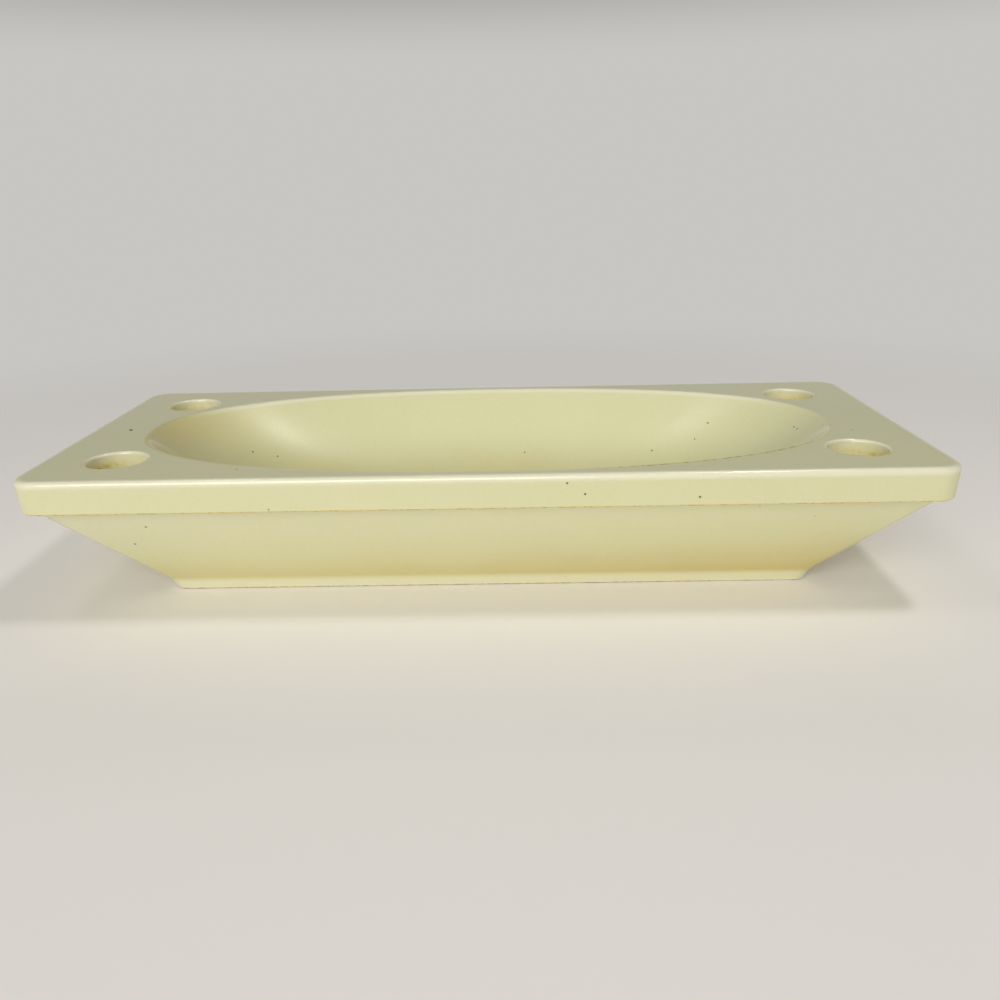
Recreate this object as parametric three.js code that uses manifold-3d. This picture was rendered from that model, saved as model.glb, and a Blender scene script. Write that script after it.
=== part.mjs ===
// Console planter in glazed earthenware: a shallow rectangular tray on a tapered, hollow body,
// with an oval basin for soil or flowers and a candle socket in each corner.
//
// Millimetres, +Z up. X runs along the length, the front faces -Y, and the origin is the centre
// of the foot, on the surface that the planter stands on.
//
// The clay is cast hollow, with a skin of a few millimetres all round. The members below are
// the walls of that casting. They meet on flat faces, as luted clay does:
//   rim_tray      the flat top, its upright band, the lip of the basin and of each socket
//   oval_basin    the bowl that hangs under the tray
//   candle_cup_*  four blind sockets for taper candles, under the corners of the tray
//   side_wall     the four tapered sides, in one ring
//   foot_base     the floor with its plinth, its recessed underside and the firing vent

import * as THREE from 'three';
import { mergeVertices } from 'three/addons/utils/BufferGeometryUtils.js';
import Module from 'manifold-3d';

const wasm = await Module();
wasm.setup();

// Overall height, foot to flat top
const TOTAL_HEIGHT = 57;

// Tray: the flat top and the band around it
const TRAY_LENGTH = 343;
const TRAY_DEPTH = 144.5;
const TRAY_CORNER_RADIUS = 9;
const SLAB_THICKNESS = 6;
const BAND_HEIGHT = 13;
const BAND_DRAFT = 0.6; // each face of the band leans in by this much on its way down
const BAND_TOP_RADIUS = 1.8;
const BAND_LOWER_RADIUS = 0.9;

// Basin: an oval centred in the tray, measured to the edge of its mouth before that is rounded
const BASIN_TO_LONG_EDGE = 5.8;
const BASIN_TO_END = 28;
const BASIN_FULLNESS = 2.25; // 2 is an ellipse, and more fills the oval out towards its corners
const BASIN_DEPTH = 40;
const BASIN_LIP_RADIUS = 2;
const BASIN_SKIN = 3.5;
const BASIN_WALL_ANGLE = THREE.MathUtils.degToRad(33); // of the long walls, away from upright
const BASIN_WALL_DROP = 34; // how far down the wall keeps close to that angle
const BASIN_FLOOR_WIDTH = 82; // across the long walls, where the bowl turns level
const BASIN_COLLAR = 5; // clay left in the tray around the basin

// Candle sockets
const SOCKET_BORE = 22.2; // takes a 7/8 inch taper candle
const SOCKET_DEPTH = 17.5;
const SOCKET_LIP_RADIUS = 1.1;
const SOCKET_FLOOR_RADIUS = 1.5;
const SOCKET_FROM_END = 29.6; // socket centre to the end of the tray
const SOCKET_FROM_FRONT = 27.3; // socket centre to the long edge of the tray
const CUP_SKIN = 3.5;
const CUP_FLOOR = 4;
const CUP_HEEL_RADIUS = 5;

// Hollow under each end of the slab, where the cups hang
const POCKET_LENGTH = 62;

// Side wall
const BAND_OVERHANG = 3.5; // the band stands this much proud of the wall below it
const WALL_SKIN = 3.6;
const WALL_CORNER_RADIUS = 6;
const LEAST_INNER_RADIUS = 1; // of the wall's inner corners, however thick its skin

// Foot and floor
const FOOT_LENGTH = 260;
const FOOT_DEPTH = 82;
const FOOT_HEIGHT = 4.7;
const FOOT_DRAFT = 1.5; // the foot is wider at its top than on the table by this much a side
const FOOT_CORNER_RADIUS = 6;
const FOOT_EDGE_RADIUS = 0.8;
const FOOT_RIM = 7; // width of the ring that the planter stands on
const FOOT_RECESS = 1.5;
const FLOOR_THICKNESS = 5;
const VENT_BORE = 8;

// Clearance between the side wall and what stands inside it
const SEAT_GAP = 0.3;

// How far a cutter runs past the face that it opens
const CUT_OVERRUN = 10;

// Points closer than this are one point of a solid
const MERGE_DISTANCE = 1e-4;

// Fineness of the faceted curves
const OVAL_STEPS = 80;
const BOWL_STEPS = 11;
const BOWL_RING_SHARE = 0.97; // share of the bowl's section that has rings; the rest is a flat cap
const CORNER_STEPS = 7;
const FILLET_STEPS = 4;
const SOCKET_STEPS = 32;

// Pale yellow glaze, a little deeper where it runs thick and lighter on the foot
const TRAY_GLAZE = { color: 0xdcd8a6, roughness: 0.3, metalness: 0 };
const BASIN_GLAZE = { color: 0xd3cd98, roughness: 0.28, metalness: 0 };
const SOCKET_GLAZE = { color: 0xc9bf86, roughness: 0.35, metalness: 0 };
const WALL_GLAZE = { color: 0xd9d49c, roughness: 0.3, metalness: 0 };
const FOOT_GLAZE = { color: 0xe6dfae, roughness: 0.45, metalness: 0 };

// Levels and outlines that several members share
const bandBottom = TOTAL_HEIGHT - BAND_HEIGHT;
const slabBottom = TOTAL_HEIGHT - SLAB_THICKNESS;
const wallTop = {
  length: TRAY_LENGTH / 2 - BAND_DRAFT - BAND_OVERHANG,
  depth: TRAY_DEPTH / 2 - BAND_DRAFT - BAND_OVERHANG,
};
const wallBottom = {
  length: FOOT_LENGTH / 2 + FOOT_DRAFT,
  depth: FOOT_DEPTH / 2 + FOOT_DRAFT,
};

// How far a side of the wall moves inwards for each millimetre down
function wallSlope(side) {
  return (wallTop[side] - wallBottom[side]) / (bandBottom - FOOT_HEIGHT);
}

// Half size of the wall's outer face at a height
function wallOuter(side, z) {
  return wallTop[side] - wallSlope(side) * (bandBottom - z);
}

// Half size of the wall's inner face at a height: the skin is measured square to the face
function wallInner(side, z) {
  return wallOuter(side, z) - WALL_SKIN * Math.hypot(1, wallSlope(side));
}

const wallInnerRadius = Math.max(WALL_CORNER_RADIUS - WALL_SKIN, LEAST_INNER_RADIUS);

// Rings and lofts. A ring is a list of points, counterclockwise seen from above.

function roundedRectangleRing(halfLength, halfDepth, radius, z, centreX = 0) {
  const ring = [];
  const corners = [[1, 1], [-1, 1], [-1, -1], [1, -1]];
  corners.forEach(([sideX, sideY], quarter) => {
    for (let step = 0; step <= CORNER_STEPS; step++) {
      const angle = (quarter + step / CORNER_STEPS) * Math.PI / 2;
      ring.push(new THREE.Vector3(
        centreX + sideX * (halfLength - radius) + radius * Math.cos(angle),
        sideY * (halfDepth - radius) + radius * Math.sin(angle),
        z,
      ));
    }
  });
  return ring;
}

function ringCentre(ring) {
  const centre = new THREE.Vector3();
  ring.forEach((point) => centre.add(point));
  return centre.divideScalar(ring.length);
}

function stitch(triangles, lower, upper, count) {
  for (let i = 0; i < count; i++) {
    const next = (i + 1) % count;
    triangles.push(lower + i, lower + next, upper + next);
    triangles.push(lower + i, upper + next, upper + i);
  }
}

function geometryOf(points, triangles) {
  const geometry = new THREE.BufferGeometry();
  geometry.setAttribute('position', new THREE.Float32BufferAttribute(points.flatMap((p) => p.toArray()), 3));
  geometry.setIndex(triangles);
  return geometry;
}

// Solid through rings from the lowest to the highest, closed at both ends
function loftedSolid(rings, lowPoint = ringCentre(rings[0]), highPoint = ringCentre(rings.at(-1))) {
  const count = rings[0].length;
  const points = [...rings.flat(), lowPoint, highPoint];
  const low = points.length - 2;
  const high = points.length - 1;
  const lastRing = (rings.length - 1) * count;
  const triangles = [];
  for (let i = 0; i < rings.length - 1; i++) stitch(triangles, i * count, (i + 1) * count, count);
  for (let i = 0; i < count; i++) {
    const next = (i + 1) % count;
    triangles.push(low, next, i);
    triangles.push(high, lastRing + i, lastRing + next);
  }
  return geometryOf(points, triangles);
}

// Hollow ring of wall: rings up the outside, then down the inside, and back to the first
function wallSolid(rings) {
  const count = rings[0].length;
  const triangles = [];
  for (let i = 0; i < rings.length; i++) {
    stitch(triangles, i * count, ((i + 1) % rings.length) * count, count);
  }
  return geometryOf(rings.flat(), triangles);
}

// Solid turned about +Z from a profile of [radius, height] that starts and ends on the axis,
// bottom centre first and then up the outside
function turnedSolid(profile, steps) {
  const points = profile.map(([radius, height]) => new THREE.Vector2(radius, height));
  return new THREE.LatheGeometry(points, steps).rotateX(Math.PI / 2);
}

// Points on a quarter circle, from one angle to another, as [radius, height]
function arc(centreRadius, centreHeight, radius, fromDegrees, toDegrees) {
  return Array.from({ length: FILLET_STEPS + 1 }, (_, step) => {
    const degrees = fromDegrees + (toDegrees - fromDegrees) * step / FILLET_STEPS;
    const angle = THREE.MathUtils.degToRad(degrees);
    return [centreRadius + radius * Math.cos(angle), centreHeight + radius * Math.sin(angle)];
  });
}

// Exact joining and cutting of closed solids

function closedMesh(geometry) {
  const bare = geometry.clone();
  bare.deleteAttribute('normal');
  bare.deleteAttribute('uv');
  return mergeVertices(bare, MERGE_DISTANCE);
}

function toSolid(geometry) {
  const merged = closedMesh(geometry);
  return new wasm.Manifold(new wasm.Mesh({
    numProp: 3,
    vertProperties: new Float32Array(merged.attributes.position.array),
    triVerts: new Uint32Array(merged.index.array),
  }));
}

function toGeometry(solid) {
  const mesh = solid.getMesh();
  const geometry = new THREE.BufferGeometry();
  geometry.setAttribute('position', new THREE.BufferAttribute(mesh.vertProperties, 3));
  geometry.setIndex(new THREE.BufferAttribute(mesh.triVerts, 1));
  return geometry;
}

// The hollow of the body up to a level, which the basin and the cups keep within
function insideOfWall(top) {
  const outline = (z) => roundedRectangleRing(
    wallInner('length', z) - SEAT_GAP, wallInner('depth', z) - SEAT_GAP, wallInnerRadius, z,
  );
  return toSolid(loftedSolid([outline(FOOT_HEIGHT), outline(top)]));
}

// The oval bowl. Its section across the long walls is one smooth curve: down the leaning wall,
// round the turn and level across the floor. The section along the length is the same curve
// stretched to the basin's length, so every level of the bowl is an oval like the lip.

const bowlHalfLength = TRAY_LENGTH / 2 - BASIN_TO_END;
const bowlHalfWidth = TRAY_DEPTH / 2 - BASIN_TO_LONG_EDGE;
const bowlSection = new THREE.CubicBezierCurve(
  new THREE.Vector2(bowlHalfWidth, TOTAL_HEIGHT),
  new THREE.Vector2(
    bowlHalfWidth - Math.tan(BASIN_WALL_ANGLE) * BASIN_WALL_DROP,
    TOTAL_HEIGHT - BASIN_WALL_DROP,
  ),
  new THREE.Vector2(BASIN_FLOOR_WIDTH / 2, TOTAL_HEIGHT - BASIN_DEPTH),
  new THREE.Vector2(0, TOTAL_HEIGHT - BASIN_DEPTH),
);

// Point of the oval's outline in one direction, for an oval of half sizes 1 and 1
function ovalPoint(angle) {
  const along = Math.cos(angle);
  const across = Math.sin(angle);
  const size = Math.abs(along) ** BASIN_FULLNESS + Math.abs(across) ** BASIN_FULLNESS;
  return [along, across].map((share) => share * size ** (-1 / BASIN_FULLNESS));
}

// How steeply the oval's outline turns at a point, as a share of one half size
function ovalTurn(share) {
  return Math.sign(share) * Math.abs(share) ** (BASIN_FULLNESS - 1);
}

// Points of the bowl's surface at one place of its section, each with the direction into the clay
function bowlStations(sectionPosition) {
  const point = bowlSection.getPoint(sectionPosition);
  const along = bowlSection.getTangent(sectionPosition);
  const stretch = bowlHalfLength / bowlHalfWidth;
  return Array.from({ length: OVAL_STEPS }, (_, step) => {
    const [length, width] = ovalPoint(step / OVAL_STEPS * Math.PI * 2);
    const around = new THREE.Vector3(-stretch * ovalTurn(width), ovalTurn(length), 0);
    const down = new THREE.Vector3(stretch * along.x * length, along.x * width, along.y);
    return {
      place: new THREE.Vector3(stretch * point.x * length, point.x * width, point.y),
      intoClay: down.cross(around).normalize(),
    };
  });
}

// Rings of the bowl from just beside the middle of its floor up to a place near its mouth
function bowlRings(outwards, highest) {
  const rings = [];
  for (let step = BOWL_STEPS; step >= highest; step--) {
    const stations = bowlStations(BOWL_RING_SHARE * step / BOWL_STEPS);
    rings.push(stations.map(({ place, intoClay }) => place.addScaledVector(intoClay, outwards)));
  }
  return rings;
}

// The bowl grown by a skin of clay, carried straight on above the tray
function bowlSolid(outwards) {
  const rings = bowlRings(outwards, 0);
  const [below, mouth] = rings.slice(-2);
  rings.push(mouth.map((point, i) => {
    const climb = point.clone().sub(below[i]);
    return point.clone().addScaledVector(climb, CUT_OVERRUN / climb.z);
  }));
  const floorCentre = new THREE.Vector3(0, 0, TOTAL_HEIGHT - BASIN_DEPTH - outwards);
  return toSolid(loftedSolid(rings, floorCentre));
}

// Rings of the rounded lip, from its tangent on the leaning wall to its tangent on the flat top
function lipRings() {
  const mouth = bowlStations(0);
  return Array.from({ length: FILLET_STEPS + 1 }, (_, step) => mouth.map(({ place, intoClay }) => {
    const level = new THREE.Vector3(intoClay.x, intoClay.y, 0).normalize();
    const turn = Math.PI / 2 - Math.asin(-intoClay.z);
    const angle = turn * (1 - step / FILLET_STEPS);
    const reach = BASIN_LIP_RADIUS * (Math.tan(turn / 2) - Math.sin(angle));
    const point = place.clone().addScaledVector(level, reach);
    point.z -= BASIN_LIP_RADIUS * (1 - Math.cos(angle));
    return point;
  }));
}

// The space inside the basin, lip included, open through the top
function basinOpening() {
  const rings = [...bowlRings(0, 1), ...lipRings()];
  rings.push(rings.at(-1).map((point) => point.clone().setZ(TOTAL_HEIGHT + CUT_OVERRUN)));
  return toSolid(loftedSolid(rings, new THREE.Vector3(0, 0, TOTAL_HEIGHT - BASIN_DEPTH)));
}

// Sockets

const socketRadius = SOCKET_BORE / 2;
const socketPlaces = [
  { name: 'candle_cup_front_left', sideX: -1, sideY: -1 },
  { name: 'candle_cup_front_right', sideX: 1, sideY: -1 },
  { name: 'candle_cup_back_left', sideX: -1, sideY: 1 },
  { name: 'candle_cup_back_right', sideX: 1, sideY: 1 },
].map(({ name, sideX, sideY }) => ({
  name,
  x: sideX * (TRAY_LENGTH / 2 - SOCKET_FROM_END),
  y: sideY * (TRAY_DEPTH / 2 - SOCKET_FROM_FRONT),
}));

function socketCutter() {
  const lip = arc(
    socketRadius + SOCKET_LIP_RADIUS, TOTAL_HEIGHT - SOCKET_LIP_RADIUS, SOCKET_LIP_RADIUS, 180, 90,
  );
  return turnedSolid([
    [0, bandBottom],
    [socketRadius, bandBottom],
    ...lip,
    [socketRadius + SOCKET_LIP_RADIUS, TOTAL_HEIGHT + CUT_OVERRUN],
    [0, TOTAL_HEIGHT + CUT_OVERRUN],
  ], SOCKET_STEPS);
}

function candleCup(x, y) {
  const outer = socketRadius + CUP_SKIN;
  const floor = TOTAL_HEIGHT - SOCKET_DEPTH;
  const bottom = floor - CUP_FLOOR;
  const cup = turnedSolid([
    [0, bottom],
    ...arc(outer - CUP_HEEL_RADIUS, bottom + CUP_HEEL_RADIUS, CUP_HEEL_RADIUS, -90, 0),
    [outer, slabBottom],
    [socketRadius, slabBottom],
    ...arc(socketRadius - SOCKET_FLOOR_RADIUS, floor + SOCKET_FLOOR_RADIUS, SOCKET_FLOOR_RADIUS, 0, -90),
    [0, floor],
  ], SOCKET_STEPS);
  return toGeometry(toSolid(cup.translate(x, y, 0)).intersect(insideOfWall(slabBottom))).translate(-x, -y, 0);
}

// Tray: a drafted block with rounded edges, cut by the bowl, the sockets and the two hollows

function trayBlank() {
  const insetRing = (inset, z) => roundedRectangleRing(
    TRAY_LENGTH / 2 - inset, TRAY_DEPTH / 2 - inset, TRAY_CORNER_RADIUS - inset, z,
  );
  const lowerEdge = arc(BAND_LOWER_RADIUS, bandBottom + BAND_LOWER_RADIUS, BAND_LOWER_RADIUS, 270, 180);
  const topEdge = arc(BAND_TOP_RADIUS, TOTAL_HEIGHT - BAND_TOP_RADIUS, BAND_TOP_RADIUS, 180, 90);
  return toSolid(loftedSolid([
    ...lowerEdge.map(([inset, z]) => insetRing(BAND_DRAFT + inset, z)),
    ...topEdge.map(([inset, z]) => insetRing(inset, z)),
  ]));
}

// Hollow under one end of the slab, as wide as the inside of the side wall, round the basin's tip
function endPocket(side, collar) {
  const outline = (z) => roundedRectangleRing(
    POCKET_LENGTH / 2,
    wallInner('depth', bandBottom),
    wallInnerRadius,
    z,
    side * (wallInner('length', bandBottom) - POCKET_LENGTH / 2),
  );
  return toSolid(loftedSolid([outline(bandBottom - CUT_OVERRUN), outline(slabBottom)])).subtract(collar);
}

function rimTray() {
  const collar = bowlSolid(BASIN_COLLAR);
  let tray = trayBlank().subtract(basinOpening());
  [-1, 1].forEach((side) => {
    tray = tray.subtract(endPocket(side, collar));
  });
  socketPlaces.forEach(({ x, y }) => {
    tray = tray.subtract(toSolid(socketCutter().translate(x, y, 0)));
  });
  return toGeometry(tray);
}

// Basin: the skin around the bowl, below the plane where it joins the tray
function ovalBasin() {
  const shell = bowlSolid(BASIN_SKIN).subtract(basinOpening());
  return toGeometry(shell.intersect(insideOfWall(bandBottom)));
}

// Side wall: straight tapered sides, from the foot up to the band
function sideWall() {
  const face = (halfSize, radius, z) => roundedRectangleRing(
    halfSize('length', z), halfSize('depth', z), radius, z,
  );
  return wallSolid([
    face(wallOuter, WALL_CORNER_RADIUS, FOOT_HEIGHT),
    face(wallOuter, WALL_CORNER_RADIUS, bandBottom),
    face(wallInner, wallInnerRadius, bandBottom),
    face(wallInner, wallInnerRadius, FOOT_HEIGHT),
  ]);
}

// Foot and floor in one: the plinth, a raised floor inside the wall, a recess and a vent below
function footBase() {
  const footRing = (inset, z) => roundedRectangleRing(
    FOOT_LENGTH / 2 - inset, FOOT_DEPTH / 2 - inset, FOOT_CORNER_RADIUS, z,
  );
  const floorRing = (z) => roundedRectangleRing(
    wallInner('length', FOOT_HEIGHT) - SEAT_GAP,
    wallInner('depth', FOOT_HEIGHT) - SEAT_GAP,
    wallInnerRadius,
    z,
  );
  const floorTop = FOOT_RECESS + FLOOR_THICKNESS;
  const edge = arc(FOOT_EDGE_RADIUS, FOOT_EDGE_RADIUS, FOOT_EDGE_RADIUS, 270, 180);
  const plinth = toSolid(loftedSolid([
    ...edge.map(([inset, z]) => footRing(inset, z)),
    footRing(-FOOT_DRAFT, FOOT_HEIGHT),
  ]));
  const floor = toSolid(loftedSolid([floorRing(FOOT_RECESS), floorRing(floorTop)]));
  const recess = toSolid(loftedSolid([footRing(FOOT_RIM, -CUT_OVERRUN), footRing(FOOT_RIM, FOOT_RECESS)]));
  const vent = toSolid(turnedSolid([
    [0, -CUT_OVERRUN],
    [VENT_BORE / 2, -CUT_OVERRUN],
    [VENT_BORE / 2, floorTop + CUT_OVERRUN],
    [0, floorTop + CUT_OVERRUN],
  ], SOCKET_STEPS));
  return toGeometry(plinth.add(floor).subtract(recess).subtract(vent));
}

// The planter

function member(name, geometry, finish) {
  const mesh = new THREE.Mesh(closedMesh(geometry), new THREE.MeshStandardMaterial(finish));
  mesh.name = name;
  return mesh;
}

const planter = new THREE.Group();
planter.name = 'planter';
planter.add(member('rim_tray', rimTray(), TRAY_GLAZE));
planter.add(member('oval_basin', ovalBasin(), BASIN_GLAZE));
socketPlaces.forEach(({ name, x, y }) => {
  const cup = member(name, candleCup(x, y), SOCKET_GLAZE);
  cup.position.set(x, y, 0);
  planter.add(cup);
});
planter.add(member('side_wall', sideWall(), WALL_GLAZE));
planter.add(member('foot_base', footBase(), FOOT_GLAZE));

export default planter;
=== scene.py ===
"""Looks of a console planter in glazed earthenware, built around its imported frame.

A shallow rectangular tray with an oval basin and four candle sockets stands on a tapered hollow
body with a plinth foot. The real planter is one slip casting under one pale yellow glaze, so
neighbouring pieces share their edges point for point and the glaze runs over them unbroken.

Lengths are written in millimetres, and turned to metres where a mesh or a pattern is made.
"""

import logging
import math
from dataclasses import dataclass
from enum import Enum
from typing import Any, Callable, Mapping, Sequence

import bmesh
import bpy
from bpy.types import Material, Mesh, Node, NodeSocket, NodeTree, Object, World
from mathutils import Matrix, Vector
from mathutils.geometry import delaunay_2d_cdt


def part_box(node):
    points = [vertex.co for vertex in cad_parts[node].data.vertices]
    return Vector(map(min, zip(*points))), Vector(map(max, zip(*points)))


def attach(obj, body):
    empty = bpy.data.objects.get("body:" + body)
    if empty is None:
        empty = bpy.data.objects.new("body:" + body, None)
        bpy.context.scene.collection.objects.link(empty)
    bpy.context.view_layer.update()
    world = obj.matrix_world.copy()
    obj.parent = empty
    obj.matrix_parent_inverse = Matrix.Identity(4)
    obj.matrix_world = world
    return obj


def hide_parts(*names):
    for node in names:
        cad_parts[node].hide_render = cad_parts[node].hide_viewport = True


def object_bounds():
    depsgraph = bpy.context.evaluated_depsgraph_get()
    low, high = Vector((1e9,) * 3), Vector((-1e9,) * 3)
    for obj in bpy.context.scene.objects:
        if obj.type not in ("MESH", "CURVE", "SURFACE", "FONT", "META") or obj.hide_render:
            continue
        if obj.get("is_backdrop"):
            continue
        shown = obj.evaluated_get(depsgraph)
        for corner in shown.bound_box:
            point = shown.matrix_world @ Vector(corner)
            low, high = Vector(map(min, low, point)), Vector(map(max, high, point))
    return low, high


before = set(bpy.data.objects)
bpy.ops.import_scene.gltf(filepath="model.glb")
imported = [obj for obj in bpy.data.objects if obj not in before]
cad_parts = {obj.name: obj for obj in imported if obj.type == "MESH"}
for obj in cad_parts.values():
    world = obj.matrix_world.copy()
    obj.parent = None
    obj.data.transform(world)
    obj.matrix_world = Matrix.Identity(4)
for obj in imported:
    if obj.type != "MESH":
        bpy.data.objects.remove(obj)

log = logging.getLogger("planter")

MM = 0.001
BODY = "root"
SHARPEST_CURVE = math.radians(30)
WELD_DISTANCE = 1e-6
HALVINGS = 40
LEFT_SHADE_POWER = 3.0

Ring = list[Vector]
Tone = float | Callable[[Vector], float]


# Shared measures

def node_box(node: str) -> tuple[Vector, Vector]:
    """Gives a frame node's corners in millimetres.

    Args:
        node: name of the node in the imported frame.

    Returns:
        The lowest and the highest corner.
    """
    low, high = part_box(node)
    return low / MM, high / MM


class Coat(float, Enum):
    """How thick the glaze lies on a stretch of surface."""

    BARE = -1.0
    # Thinnest and palest, on edges and lips, where the pale tone also stands in for their highlight.
    EDGE = 0.0
    FACE = 0.5
    POOL = 1.0


@dataclass(frozen=True)
class Grid:
    """How finely the curved surfaces are divided."""

    corner: int = 14
    long_side: int = 84
    short_side: int = 36
    oval: int = 240
    bowl: int = 120
    lip: int = 12
    fillet: int = 9
    run: int = 12
    socket: int = 96
    plate: float = 6.0


@dataclass(frozen=True)
class BodySizes:
    """Sizes of the whole planter, read from the frame's nodes, and what tray and cups share."""

    half_length: float
    half_depth: float
    top: float
    band_bottom: float
    wall_top_length: float
    wall_top_depth: float
    foot_length: float
    foot_depth: float
    foot_height: float
    floor_top: float
    cup_top: float
    cup_bottom: float
    cup_radius: float
    cup_x: float
    cup_y: float
    bore: float = 22.2
    bore_darkness: float = 0.35

    @classmethod
    def measured(cls) -> "BodySizes":
        """Reads the sizes from the boxes of the nodes.

        Returns:
            The sizes.
        """
        tray_low, tray_high = node_box("rim_tray")
        wall_low, wall_high = node_box("side_wall")
        _, foot_high = node_box("foot_base")
        cup_low, cup_high = node_box("candle_cup_back_right")
        cup = (cup_low + cup_high) / 2
        return cls(
            half_length=tray_high.x,
            half_depth=tray_high.y,
            top=tray_high.z,
            band_bottom=tray_low.z,
            wall_top_length=wall_high.x,
            wall_top_depth=wall_high.y,
            foot_length=foot_high.x,
            foot_depth=foot_high.y,
            foot_height=wall_low.z,
            floor_top=foot_high.z,
            cup_top=cup_high.z,
            cup_bottom=cup_low.z,
            cup_radius=(cup_high.x - cup_low.x) / 2,
            cup_x=cup.x,
            cup_y=cup.y,
        )


def shares(steps: int) -> list[float]:
    """Gives evenly spaced shares of a way, from 0 to 1."""
    return [step / steps for step in range(steps + 1)]


def arc(
    centre: Sequence[float], radius: float, start: float, end: float, steps: int,
) -> list[tuple[float, float]]:
    """Gives points on an arc in a plane.

    Args:
        centre: the arc's centre.
        radius: its radius.
        start: its first angle, in degrees.
        end: its last angle, in degrees.
        steps: how many chords it has.

    Returns:
        The points, first to last.
    """
    angles = [math.radians(start + (end - start) * share) for share in shares(steps)]
    return [(centre[0] + radius * math.cos(angle), centre[1] + radius * math.sin(angle)) for angle in angles]


def circle(x: float, y: float, radius: float, height: float, steps: int) -> Ring:
    """Gives the points of a level circle, anticlockwise from above."""
    turns = [step / steps * math.tau for step in range(steps)]
    return [Vector((x + radius * math.cos(turn), y + radius * math.sin(turn), height)) for turn in turns]


def rounded_rectangle(level: Vector, grid: Grid) -> Ring:
    """Gives the points of a level rounded rectangle about the middle of the planter.

    Args:
        level: its half length, half depth, height and corner radius.
        grid: how finely the corners and sides are divided.

    Returns:
        The points, anticlockwise from above. Rings of one grid match point for point.
    """
    half_length, half_depth, height, radius = level
    arcs = []
    for quarter, (side_x, side_y) in enumerate(((1, 1), (-1, 1), (-1, -1), (1, -1))):
        centre = (side_x * (half_length - radius), side_y * (half_depth - radius))
        arcs.append(arc(centre, radius, quarter * 90, quarter * 90 + 90, grid.corner))
    ring: Ring = []
    for quarter, points in enumerate(arcs):
        ring += [Vector((x, y, height)) for x, y in points]
        start, end = ring[-1], Vector((*arcs[(quarter + 1) % 4][0], height))
        steps = grid.short_side if quarter % 2 else grid.long_side
        ring += [start.lerp(end, step / steps) for step in range(1, steps)]
    return ring


def ease(value: float, start: float, end: float) -> float:
    """Gives 0 at the start and 1 at the end, gently in between."""
    share = min(1.0, max(0.0, (value - start) / (end - start)))
    return share * share * (3 - 2 * share)


def margin(width: float, height: float = 0.0) -> Vector:
    """Gives what a level loses when its outline moves in by a width and down by a height."""
    return Vector((width, width, height, width))


class ClayMesh:
    """Collects the points and faces of one piece, with the coat and the darkening at each point."""

    def __init__(self) -> None:
        """Starts with nothing."""
        self.points: list[Vector] = []
        self.coats: list[float] = []
        self.darkenings: list[float] = []
        self.faces: list[tuple[int, ...]] = []

    def ring(self, places: Ring, coat: Tone, darkening: Tone = 0.0) -> list[int]:
        """Adds a ring of points.

        Args:
            places: the points, in millimetres.
            coat: how thick the glaze lies there, as a number or as a rule over the places.
            darkening: how much darker and browner the glaze is painted there, from 0 to 2, as a number or
                a rule too; under the band and along the foot's lower edge it is painted shade.

        Returns:
            The points' numbers.
        """
        first = len(self.points)
        self.points += places
        for kept, tone in ((self.coats, coat), (self.darkenings, darkening)):
            kept += [tone(place) if callable(tone) else float(tone) for place in places]
        return list(range(first, len(self.points)))

    def loft(self, rings: Sequence[Sequence[int]]) -> None:
        """Joins each ring to the next with four-sided faces.

        Args:
            rings: the numbers of the points of each ring, which match one to one.
        """
        for lower, upper in zip(rings, rings[1:]):
            count = len(lower)
            for i in range(count):
                after = (i + 1) % count
                self.faces.append((lower[i], lower[after], upper[after], upper[i]))

    def plate(
        self, outline: Sequence[int], holes: Sequence[Sequence[int]], spacing: float, coat: float,
    ) -> None:
        """Fills a level face between an outline and the holes in it.

        Args:
            outline: the outer ring, which bulges outwards all the way round.
            holes: rings of the holes, which bulge outwards too.
            spacing: distance between the points added inside the face.
            coat: how thick the glaze lies on it.
        """
        level = self.points[outline[0]].z
        loops = [list(loop) for loop in (outline, *holes)]
        numbers = [number for loop in loops for number in loop]
        flat = [self.points[number].xy for number in numbers]
        edges: list[tuple[int, int]] = []
        spans: list[range] = []
        for loop in loops:
            first = spans[-1].stop if spans else 0
            spans.append(range(first, first + len(loop)))
            edges += [(first + i, first + (i + 1) % len(loop)) for i in range(len(loop))]
        shapes = [[flat[i] for i in span] for span in spans]
        inner = [
            place for place in lattice(shapes[0], spacing)
            if clearance(place, shapes[0], True) > spacing / 2
            and all(clearance(place, shape, False) > spacing / 2 for shape in shapes[1:])
        ]
        numbers += self.ring([Vector((*place, level)) for place in inner], coat)
        _, _, triangles, origins, _, _ = delaunay_2d_cdt(flat + inner, edges, [], 0, WELD_DISTANCE, True)
        for triangle in triangles:
            corners = [origins[i][0] for i in triangle]
            if not any(all(i in span for i in corners) for span in spans[1:]):
                self.faces.append(tuple(numbers[i] for i in corners))

    def piece(self, name: str, material: Material) -> Object:
        """Makes the Blender object, with its place in its mesh.

        Args:
            name: the object's name.
            material: the glaze that it wears.

        Returns:
            The object, its faces turned outwards.
        """
        mesh = bpy.data.meshes.new(name)
        mesh.from_pydata([point * MM for point in self.points], [], self.faces)
        for label, values in (("coat", self.coats), ("darkening", self.darkenings)):
            mesh.attributes.new(label, "FLOAT", "POINT").data.foreach_set("value", values)
        mesh.materials.append(material)
        finish_mesh(mesh)
        return shown(name, mesh)


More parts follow.
